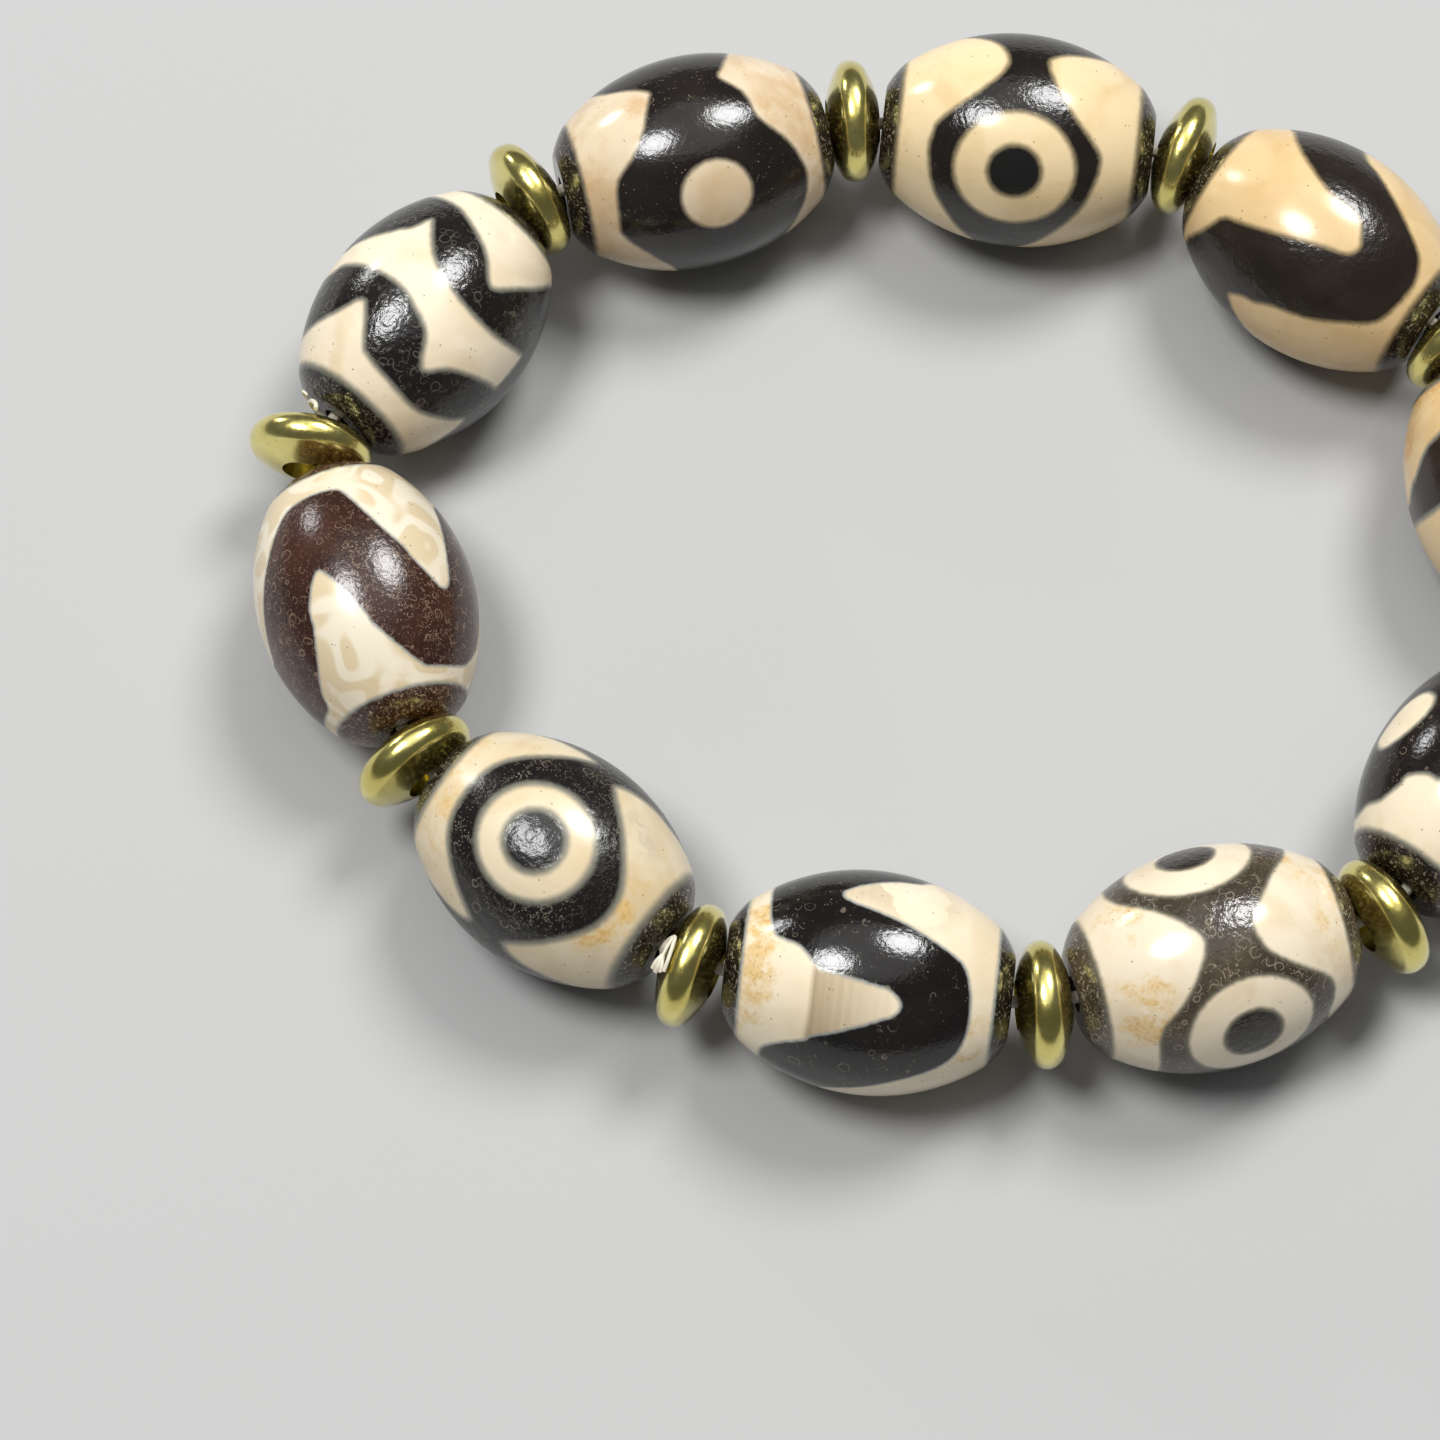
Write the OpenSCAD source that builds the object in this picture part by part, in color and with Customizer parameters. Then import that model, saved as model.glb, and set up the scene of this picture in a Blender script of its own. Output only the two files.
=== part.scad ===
// Etched agate bead bracelet. Ten barrel beads and ten brass rondelles on one elastic cord,
// lying flat on its beads. Millimetres, +Z up, origin under the middle of the loop.

/* [Beads] */
// Widest diameter of a barrel bead
bead_d = 12; // [10:0.1:14]
// Length of a bead from flat end to flat end
bead_length = 15.3; // [14.4:0.1:18]
// Diameter where the patterned barrel stops and the black end begins
collar_d = 7.3; // [6.6:0.1:8]
// Length of the black rounded end of a bead
end_length = 0.9; // [0.7:0.05:1.2]
// Diameter of the flat round the hole
flat_d = 4.6; // [3.8:0.1:5]
// Diameter of the hole drilled through each bead
bead_hole_d = 2; // [2:0.1:2.4]

/* [Spacers] */
// Outer diameter of a brass rondelle
spacer_d = 6.9; // [6:0.1:8]
// Thickness that a rondelle would have on its axis, if it had no hole
spacer_thickness = 3.2; // [3:0.1:3.4]
// Radius of the rounded rim of a rondelle
spacer_rim_r = 0.98; // [0.9:0.02:1.1]
// Diameter of the hole through a rondelle
spacer_hole_d = 2.6; // [2.6:0.1:2.8]

/* [String] */
// Diameter of the elastic cord
cord_d = 0.7; // [0.5:0.05:0.75]
// Running gap between a bead and the rondelle beside it
running_gap = 0.06; // [0.05:0.01:0.2]
// How far a rondelle rides outward on the sharpest bend
spacer_ride = 0.3; // [0:0.05:0.3]
// Turn of the string at the rondelle on the pointed end of the loop
turn_point = 56; // [52:1:58]
// Turn of the string one bead past the point
turn_shoulder = 34; // [30:1:38]
// Turn of the string two beads past the point
turn_flank = 31; // [26:1:34]
// Turn of the string three beads past the point
turn_side = 22; // [18:1:26]

/* [Hidden] */
$fn = 96;

BEADS = ["bead_a", "bead_b", "bead_c", "bead_d", "bead_e", "bead_f", "bead_g", "bead_h", "bead_i", "bead_j"];
SPACERS = ["spacer_ja", "spacer_ab", "spacer_bc", "spacer_cd", "spacer_de",
           "spacer_ef", "spacer_fg", "spacer_gh", "spacer_hi", "spacer_ij"];

// Bead: a barrel arc as far as the collar, then a domed black end down to a small flat.
bead_r = bead_d / 2;
half_length = bead_length / 2;
half_barrel = half_length - end_length;
belly = bead_r - collar_d / 2;
barrel_arc_r = (half_barrel * half_barrel + belly * belly) / (2 * belly);
collar_r = collar_d / 2;
flat_r = flat_d / 2;
dome_x = (half_length * half_length + flat_r * flat_r - half_barrel * half_barrel - collar_r * collar_r)
         / (2 * end_length);
dome_r = norm([half_length - dome_x, flat_r]);
bead_hole_r = bead_hole_d / 2;

// Rondelle: two wide side arcs, each centred beyond the other side, that cross a small rim arc.
// They are sunk a little less than would touch the rim arc, so that the arcs cross cleanly.
SINK_EASE = 0.1;
rim_centre = spacer_d / 2 - spacer_rim_r;
rim_rise = spacer_thickness / 2 - spacer_rim_r;
side_sink = (rim_centre * rim_centre - rim_rise * rim_rise) / (2 * rim_rise) - SINK_EASE;
side_r = side_sink + spacer_thickness / 2;
rim_cut = rim_centre + spacer_rim_r * rim_centre / norm([rim_centre, side_sink]);
spacer_hole_r = spacer_hole_d / 2;

// The string turns at each rondelle. The half loop from the left point to the right one turns
// half a circle in all, and the other half is the same, turned about the middle.
turn_last = 180 - turn_point - turn_shoulder - turn_flank - turn_side;
HALF_TURNS = [turn_point, turn_shoulder, turn_flank, turn_side, turn_last];
SIDES = len(HALF_TURNS);
function turn(k) = HALF_TURNS[k % SIDES];

// Distance from a bend of the string to the flat end of the bead beside it, so that neither the
// bead's flat nor the flat's inner edge touches the side of the rondelle.
function ride(k) = spacer_ride * turn(k) / turn_point;
function face_gap(a, out) = side_r + running_gap - side_sink * cos(a) - out * sin(a);
function edge_gap(a, out) =
    let (reach = side_r + running_gap,
         b = side_sink * cos(a) + out * sin(a),
         c = side_sink * side_sink + flat_r * flat_r + out * out
             + 2 * flat_r * (out * cos(a) - side_sink * sin(a)) - reach * reach)
    sqrt(b * b - c) - b;
function end_gap(k) = let (a = turn(k) / 2) max(face_gap(a, ride(k)), edge_gap(a, ride(k)));

// Headings of the beads, and the bends between them, counted anticlockwise from the left point.
function sum_turns(k) = k == 0 ? 0 : sum_turns(k - 1) + turn(k);
function raw_step(k) = (end_gap(k) + bead_length + end_gap(k + 1)) * [cos(sum_turns(k)), sin(sum_turns(k))];
function raw_span(k) = k == 0 ? [0, 0] : raw_span(k - 1) + raw_step(k - 1);
raw_chord = raw_span(SIDES);
level = -atan2(raw_chord[1], raw_chord[0]);
function heading(k) = level + sum_turns(k);
function step(k) = norm(raw_step(k % SIDES)) * [cos(heading(k)), sin(heading(k))];
function bend(k) = k == 0 ? [-norm(raw_chord) / 2, 0] : bend(k - 1) + step(k - 1);
function bead_at(k) = bend(k) + (end_gap(k) + half_length) * [cos(heading(k)), sin(heading(k))];
function spacer_heading(k) = heading(k) - turn(k) / 2;
function spacer_at(k) = bend(k) + ride(k) * [sin(spacer_heading(k)), -cos(spacer_heading(k))];

// Cord: along the middle of each bead, then straight through the rondelle from one bead's mouth
// to the next. On a bend it leaves the mouth on the outer side, which clears the rondelle's hole.
CORD_SIDES = 8;
MOUTH_PLAY = 0.55;
MOUTH_DEPTH = 0.25;
DEEP = 3;
MOUTH_ROUND = 0.35;
function mouth_play(k) = MOUTH_PLAY * turn(k) / turn_point;
function on_bead(k, side, depth, out) =
    let (a = side > 0 ? heading(k) : heading(k) - turn(k), d = side * (end_gap(k) + depth))
    bend(k) + [d * cos(a) + out * sin(a), d * sin(a) - out * cos(a)];
function toward(from, to, d) = from + d * (to - from) / norm(to - from);
function joint_route(k) =
    let (deep_in = on_bead(k, -1, DEEP, 0), mouth_in = on_bead(k, -1, MOUTH_DEPTH, mouth_play(k)),
         mouth_out = on_bead(k, 1, MOUTH_DEPTH, mouth_play(k)), deep_out = on_bead(k, 1, DEEP, 0))
    [deep_in, toward(mouth_in, deep_in, MOUTH_ROUND), toward(mouth_in, mouth_out, MOUTH_ROUND),
     toward(mouth_out, mouth_in, MOUTH_ROUND), toward(mouth_out, deep_out, MOUTH_ROUND), deep_out];
CORD_ROUTE = [for (k = [0 : len(BEADS) - 1]) each joint_route(k)];
RINGS = len(CORD_ROUTE);
function unit(v) = v / norm(v);
function ring_heading(i) =
    let (here = CORD_ROUTE[i],
         d = unit(here - CORD_ROUTE[(i + RINGS - 1) % RINGS]) + unit(CORD_ROUTE[(i + 1) % RINGS] - here))
    atan2(d[1], d[0]);

module along(place, angle) translate([place[0], place[1], bead_r]) rotate([0, 90, angle]) children();

module bead_outline() difference() {
    intersection() {
        translate([bead_r - barrel_arc_r, 0]) circle(barrel_arc_r);
        translate([bead_hole_r, -half_length]) square([bead_r, bead_length]);
    }
    for (end = [-1, 1]) difference() {
        translate([0, end * bead_length]) square([2 * bead_d, 2 * (bead_length - half_barrel + end_length)], center = true);
        translate([0, end * dome_x]) circle(dome_r);
    }
}

module bead(k) color(k == 0 ? "#4a3528" : "#3a332e")
    along(bead_at(k), heading(k)) rotate_extrude() bead_outline();

module spacer_outline() difference() {
    intersection() {
        translate([0, -side_sink]) circle(side_r);
        translate([0, side_sink]) circle(side_r);
        translate([spacer_hole_r, -spacer_thickness]) square([spacer_d, 2 * spacer_thickness]);
    }
    difference() {
        translate([rim_cut, -spacer_thickness]) square([spacer_d, 2 * spacer_thickness]);
        translate([rim_centre, 0]) circle(spacer_rim_r);
    }
}

module spacer(k) color("#b5a642")
    along(spacer_at(k), spacer_heading(k)) rotate_extrude() spacer_outline();

module elastic_cord() {
    points = [for (i = [0 : RINGS - 1], s = [0 : CORD_SIDES - 1])
        let (around = 360 * s / CORD_SIDES, out = cord_d / 2 * cos(around))
        [CORD_ROUTE[i][0] + out * sin(ring_heading(i)),
         CORD_ROUTE[i][1] - out * cos(ring_heading(i)),
         bead_r + cord_d / 2 * sin(around)]];
    faces = [for (i = [0 : RINGS - 1], s = [0 : CORD_SIDES - 1])
        let (next = (i + 1) % RINGS, beside = (s + 1) % CORD_SIDES)
        [i * CORD_SIDES + s, i * CORD_SIDES + beside, next * CORD_SIDES + beside, next * CORD_SIDES + s]];
    color("#e8e4d8") polyhedron(points, faces);
}

for (k = [0 : len(BEADS) - 1]) bead(k);
for (k = [0 : len(SPACERS) - 1]) spacer(k);
elastic_cord();
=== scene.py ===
import math

import bpy
import numpy as np
from mathutils import Matrix, Vector, kdtree


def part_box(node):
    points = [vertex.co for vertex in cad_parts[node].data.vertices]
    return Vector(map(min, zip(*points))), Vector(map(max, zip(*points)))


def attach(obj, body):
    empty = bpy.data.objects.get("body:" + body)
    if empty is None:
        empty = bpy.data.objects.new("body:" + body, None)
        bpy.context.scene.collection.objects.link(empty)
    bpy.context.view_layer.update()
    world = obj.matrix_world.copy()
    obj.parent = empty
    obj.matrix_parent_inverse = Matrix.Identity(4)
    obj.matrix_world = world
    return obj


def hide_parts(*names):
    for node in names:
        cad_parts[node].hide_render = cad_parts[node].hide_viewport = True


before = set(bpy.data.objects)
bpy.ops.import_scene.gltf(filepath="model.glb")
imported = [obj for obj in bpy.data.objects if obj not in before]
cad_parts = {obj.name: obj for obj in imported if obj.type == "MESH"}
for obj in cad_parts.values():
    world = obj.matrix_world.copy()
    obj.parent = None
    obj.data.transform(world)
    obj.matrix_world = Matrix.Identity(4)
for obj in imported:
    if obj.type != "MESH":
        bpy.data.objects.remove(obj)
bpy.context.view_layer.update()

# Camera
# The bracelet lies flat on its beads and is seen from close above its near side, 20 degrees off
# the upright, with the right end of the loop running out of the picture.
VIEW_TURN = math.radians(9.667)
VIEW_HEIGHT = math.radians(70)
VIEW_DISTANCE = 0.270
VIEW_TARGET = Vector((-0.010511, -0.011979, 0.006))
LENS_MM = 124.3
SENSOR_MM = 36
across = Vector((math.cos(VIEW_TURN), math.sin(VIEW_TURN), 0))
toward = Vector((math.sin(VIEW_TURN) * math.cos(VIEW_HEIGHT),
                 -math.cos(VIEW_TURN) * math.cos(VIEW_HEIGHT),
                 math.sin(VIEW_HEIGHT)))
upward = toward.cross(across)
lens = bpy.data.cameras.new("camera")
lens.lens = LENS_MM
lens.sensor_width = SENSOR_MM
camera = bpy.data.objects.new("camera", lens)
bpy.context.scene.collection.objects.link(camera)
camera.matrix_world = Matrix.Translation(VIEW_TARGET + VIEW_DISTANCE * toward) @ Matrix(
    (across, upward, toward)).transposed().to_4x4()
bpy.context.scene.camera = camera

# Agate beads
# Ten barrels of black or brown agate, turned and drilled lengthwise, domed at both ends and polished.
# One barrel is turned here by spinning its half outline about the X axis, and copied for each bead.

# Sizes in mm
MM = 0.001
BEAD_R = 6.0
HALF_LENGTH = 7.65
HALF_BARREL = 6.75
COLLAR_R = 3.65
FLAT_R = 2.3
BORE_R = 1.0
BARREL_ARC = (HALF_BARREL ** 2 + (BEAD_R - COLLAR_R) ** 2) / (2 * (BEAD_R - COLLAR_R))
DOME_AT = ((HALF_LENGTH ** 2 + FLAT_R ** 2 - HALF_BARREL ** 2 - COLLAR_R ** 2)
           / (2 * (HALF_LENGTH - HALF_BARREL)))
DOME_ARC = math.hypot(HALF_LENGTH - DOME_AT, FLAT_R)
BARREL_STEPS = 84
DOME_STEPS = 9
FLAT_STEPS = 3
BEAD_SIDES = 236
WELD = 0.002
CREASE = math.radians(40)


def bead_radius(along):
    """Radius in mm of the skin, at a distance in mm from the middle of the bead."""
    along = abs(along)
    if along <= HALF_BARREL:
        return math.sqrt(BARREL_ARC ** 2 - along ** 2) - BARREL_ARC + BEAD_R
    return math.sqrt(max(DOME_ARC ** 2 - (along - DOME_AT) ** 2, 0))


def bead_half_outline():
    """Points (along, out) from one mouth of the bore, over the skin, to the other mouth."""
    barrel = [HALF_BARREL * (2 * k / BARREL_STEPS - 1) for k in range(BARREL_STEPS + 1)]
    dome = [HALF_BARREL + (HALF_LENGTH - HALF_BARREL) * k / DOME_STEPS for k in range(1, DOME_STEPS + 1)]
    skin = [-x for x in reversed(dome)] + barrel + dome
    flat = [BORE_R + (FLAT_R - BORE_R) * k / FLAT_STEPS for k in range(FLAT_STEPS)]
    return ([(-HALF_LENGTH, r) for r in flat] + [(x, bead_radius(x)) for x in skin]
            + [(HALF_LENGTH, r) for r in reversed(flat)])


def spun(name, outline, sides):
    """A closed solid of revolution about X, from a closed half outline in mm."""
    bpy.ops.object.select_all(action="DESELECT")
    bpy.ops.mesh.primitive_circle_add(vertices=len(outline), radius=MM, location=(0, 0, 0))
    solid = bpy.context.active_object
    solid.name = name
    for corner, (along, out) in zip(solid.data.vertices, outline):
        corner.co = (along * MM, out * MM, 0)
    bpy.ops.object.mode_set(mode="EDIT")
    bpy.ops.mesh.select_all(action="SELECT")
    bpy.ops.mesh.spin(steps=sides, angle=2 * math.pi, center=(0, 0, 0), axis=(1, 0, 0))
    bpy.ops.mesh.select_all(action="SELECT")
    bpy.ops.mesh.remove_doubles(threshold=WELD * MM)
    bpy.ops.mesh.normals_make_consistent(inside=False)
    bpy.ops.object.mode_set(mode="OBJECT")
    bpy.ops.object.shade_smooth_by_angle(angle=CREASE)
    return solid


def copied(piece, name, paint):
    """Another of the same piece, with a mesh and a material of its own."""
    made = piece.copy()
    made.data = piece.data.copy()
    made.name = name
    bpy.context.scene.collection.objects.link(made)
    made.data.materials.clear()
    made.data.materials.append(paint)
    return made


def axle_of(node, long_way):
    """Middle of a CAD solid of revolution that lies level, and the direction of its own axis."""
    low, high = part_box(node)
    middle = (low + high) / 2
    spots = np.array([v.co[:2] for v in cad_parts[node].data.vertices]) - np.array(middle[:2])
    spread, ways = np.linalg.eigh(spots.T @ spots)
    way = Vector((*ways[:, 1 if long_way else 0], 0))
    if middle.cross(way).z < 0:
        way.negate()
    return middle, way


def seat(piece, middle, way, face):
    """Moves a piece turned about X to its place: its axis along way, its Y side toward face."""
    side = (face - face.project(way)).normalized()
    turn = Matrix((way, side, way.cross(side))).transposed().to_4x4()
    piece.data.transform(Matrix.Translation(middle) @ turn)


def blank(name):
    """An empty material, its tree, and the place on the piece for its textures."""
    made = bpy.data.materials.new(name)
    made.use_nodes = True
    tree = made.node_tree
    tree.nodes.clear()
    return made, tree, fit(tree, "ShaderNodeTexCoord").outputs["Object"]


def fit(tree, kind, settings=None, values=(), **sockets):
    """Adds a shader node, with its settings, its unnamed inputs in order and its named ones."""
    made = tree.nodes.new(kind)
    for name, value in (settings or {}).items():
        setattr(made, name, value)
    pairs = list(zip(made.inputs, values))
    pairs += [(made.inputs[name.replace("_", " ")], value) for name, value in sockets.items()]
    for socket, value in pairs:
        if isinstance(value, bpy.types.NodeSocket):
            tree.links.new(value, socket)
        elif value is not None:
            socket.default_value = value
    return made


def math_node(tree, operation, *values, clamp=False):
    return fit(tree, "ShaderNodeMath", {"operation": operation, "use_clamp": clamp}, values).outputs[0]


def times(tree, first, second, clamp=False):
    return math_node(tree, "MULTIPLY", first, second, clamp=clamp)


def larger(tree, first, second):
    return math_node(tree, "MAXIMUM", first, second)


def ramp(tree, value, low, high):
    """0 below low, 1 above high. High may be the lower of the two, to turn it round."""
    made = fit(tree, "ShaderNodeMapRange", {"interpolation_type": "SMOOTHSTEP"}, Value=value)
    made.inputs["From Min"].default_value = low
    made.inputs["From Max"].default_value = high
    return made.outputs["Result"]


def noise(tree, place, fineness, detail, **more):
    """Soft noise from 0 to 1. Its fineness, and that of cells, is how many go in a metre."""
    return fit(tree, "ShaderNodeTexNoise", Vector=place, Scale=fineness, Detail=detail, **more).outputs["Fac"]


def cells(tree, place, fineness):
    """Distance from the middles of small cells, and a tone of grey for each cell."""
    made = fit(tree, "ShaderNodeTexVoronoi", Vector=place, Scale=fineness)
    return made.outputs["Distance"], made.outputs["Color"]


def blend(tree, share, under, over):
    made = tree.nodes.new("ShaderNodeMix")
    made.data_type = "RGBA"
    for socket, value in zip((made.inputs[0], made.inputs[6], made.inputs[7]), (share, under, over)):
        if isinstance(value, bpy.types.NodeSocket):
            tree.links.new(value, socket)
        else:
            socket.default_value = value
    return made.outputs[2]


def tone(red, green, blue):
    """A colour for a shader, from the way it looks on a screen, 0 to 255, by the usual screen curve."""
    light = [((c / 255 + 0.055) / 1.055) ** 2.4 if c > 10 else c / 3294.6 for c in (red, green, blue)]
    return (*light, 1)


def scaled(colour, red, green, blue):
    return (colour[0] * red, colour[1] * green, colour[2] * blue, 1)


def strayed(tree, place, fineness, push):
    """The place, pushed about by a share of a cell, so that small cells lose their straight edges."""
    wander = fit(tree, "ShaderNodeTexNoise", Vector=place, Scale=fineness * 0.9, Detail=2.0).outputs["Color"]
    return fit(tree, "ShaderNodeVectorMath", {"operation": "MULTIPLY_ADD"},
               (wander, (push / fineness,) * 3, place)).outputs[0]


def cracked(tree, place, fineness, run, amount):
    """Thin wandering lines along the edges of small cells, over a share of the stone."""
    line = fit(tree, "ShaderNodeTexVoronoi", {"feature": "DISTANCE_TO_EDGE"},
               Vector=strayed(tree, place, fineness, 1.1), Scale=fineness).outputs["Distance"]
    gaps = noise(tree, place, fineness * run, 1.0)
    start = 0.68 - 0.18 * amount
    return times(tree, ramp(tree, line, 0.055, 0.016), ramp(tree, gaps, start, start + 0.06))


def ringed(tree, place, fineness, amount):
    """Thin broken rings inside a share of small cells."""
    reach, grey = cells(tree, strayed(tree, place, fineness, 0.55), fineness)
    shell = math_node(tree, "ABSOLUTE", math_node(tree, "SUBTRACT", reach, 0.34))
    few = ramp(tree, grey, 1.0 - amount, 1.02 - amount)
    gaps = noise(tree, place, fineness * 1.2, 1.0)
    whole = times(tree, ramp(tree, shell, 0.05, 0.014), ramp(tree, gaps, 0.40, 0.52))
    return times(tree, whole, few)


def agate(name, stone, marks, cream, stain, haze, halo=0.2, gloss=0.14, leather=0.4, dimple=3600.0,
          specks=0.5, cracks=0.5, long_cracks=0.0, rings=0.3, shade=(0.88, 0.83, 0.74), milk=None,
          bands=0.0, grit=0.6):
    """Polished agate. The attribute etch is the distance in mm inside the edge of the etched cream.

    Stain and wear run from 0 to 1, and veil from -1 where the cream is milky to 1 where it is tan.
    """
    made, tree, place = blank(name)
    etched, stained, veiled, rubbed = (
        fit(tree, "ShaderNodeAttribute", {"attribute_name": layer}).outputs["Fac"]
        for layer in ("etch", "stain", "veil", "wear"))

    # The bare stone: mottled, with light specks, short cracks and a few rings, thicker in some places
    cloud = noise(tree, place, 330.0, 3.0)
    body = blend(tree, ramp(tree, cloud, 0.35, 0.75), stone, scaled(stone, 1.8, 1.8, 1.8))
    body = blend(tree, times(tree, veiled, 0.8, clamp=True), body, tone(24, 24, 23))
    patch = noise(tree, place, 300.0, 3.0)
    thick = math_node(tree, "MULTIPLY_ADD", ramp(tree, patch, 0.42, 0.62), 0.8, 0.2)
    speck, grey = cells(tree, place, 5600.0)
    dots = times(tree, ramp(tree, speck, 0.32, 0.12), ramp(tree, grey, 1.05 - specks, 1.25 - specks))
    dust = times(tree, ramp(tree, noise(tree, place, 5200.0, 2.0), 0.56, 0.68), rubbed)
    worms = cracked(tree, place, 2600.0, 0.9, cracks) if cracks else 0.0
    if long_cracks:
        worms = larger(tree, worms, cracked(tree, place, 1100.0, 0.5, long_cracks))
    hoops = larger(tree, ringed(tree, place, 1150.0, rings), ringed(tree, place, 1900.0, 0.8 * rings))
    worn = times(tree, larger(tree, times(tree, dots, 0.75), times(tree, worms, 0.5)), thick)
    worn = larger(tree, worn, times(tree, hoops, 0.4))
    worn = larger(tree, worn, times(tree, dust, 0.8))
    worn = times(tree, worn, ramp(tree, veiled, 1.4, 0.0))
    body = blend(tree, worn, body, marks)

    # The etched cream: soft clouds, beige bands in brown agate, and a veil where it is tan or milky
    drift = noise(tree, place, 230.0, 3.0, Distortion=0.8)
    skin = blend(tree, ramp(tree, drift, 0.42, 0.72), cream, scaled(cream, *shade))
    if bands:
        bed = noise(tree, place, 265.0, 1.2, Distortion=0.3)
        wave = math_node(tree, "SINE", times(tree, bed, 34.0))
        thin = noise(tree, place, 200.0, 1.0)
        share = times(tree, ramp(tree, wave, -0.6, 0.45), times(tree, ramp(tree, thin, 0.30, 0.46), bands))
        skin = blend(tree, share, skin, scaled(cream, 0.83, 0.745, 0.60))
    skin = blend(tree, veiled, skin, tone(152, 132, 100))
    if milk:
        wisp = noise(tree, place, 1100.0, 3.0, Distortion=1.0)
        milky = times(tree, times(tree, veiled, -1.0, clamp=True), ramp(tree, wisp, 0.36, 0.62))
        skin = blend(tree, milky, skin, milk)

    # Ochre stains in soft clouds with darker grit in them, and brown pin holes
    blot = noise(tree, place, 1000.0, 4.0, Roughness=0.65)
    flood = math_node(tree, "MULTIPLY_ADD", stained, 0.22, blot)
    soft = times(tree, stained, ramp(tree, flood, 0.50, 0.74))
    skin = blend(tree, times(tree, soft, 0.85), skin, stain)
    fleck = times(tree, soft, ramp(tree, noise(tree, place, 3800.0, 2.0), 0.50, 0.62))
    skin = blend(tree, times(tree, fleck, grit), skin, scaled(stain, 0.80, 0.66, 0.5))
    hole, grey = cells(tree, place, 2100.0)
    pits = times(tree, ramp(tree, hole, 0.17, 0.07), ramp(tree, grey, 0.64, 0.68))
    skin = blend(tree, times(tree, pits, 0.6), skin, tone(116, 82, 50))

    # The edge of the etching: a thin haze between cream and stone
    ragged = noise(tree, place, 2600.0, 2.0)
    edge = math_node(tree, "ADD", etched, math_node(tree, "MULTIPLY_ADD", ragged, 0.12, -0.06))
    colour = blend(tree, ramp(tree, edge, -halo, 0.02), body, haze)
    colour = blend(tree, ramp(tree, edge, -0.04, 0.08 + halo), colour, skin)

    # The polish: a leathery skin on the stone, smoother on the cream
    peel = noise(tree, place, dimple, 3.0, Roughness=0.55)
    bare = ramp(tree, edge, 0.12, -0.08)
    strength = math_node(tree, "MULTIPLY_ADD", bare, leather, 0.05)
    bump = fit(tree, "ShaderNodeBump", Strength=strength, Distance=0.05 * MM, Height=peel)
    shader = fit(tree, "ShaderNodeBsdfPrincipled", Base_Color=colour, Normal=bump.outputs[0])
    shader.inputs["Roughness"].default_value = gloss
    shader.inputs["IOR"].default_value = 1.54
    fit(tree, "ShaderNodeOutputMaterial", Surface=shader.outputs[0])
    return made


# Etched patterns
# The cream is etched into the polished stone. Each bead has a cream end at its start and at its finish,
# with an edge drawn as points (mm along the bead, degrees round from the side that faces up to the viewer).

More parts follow.
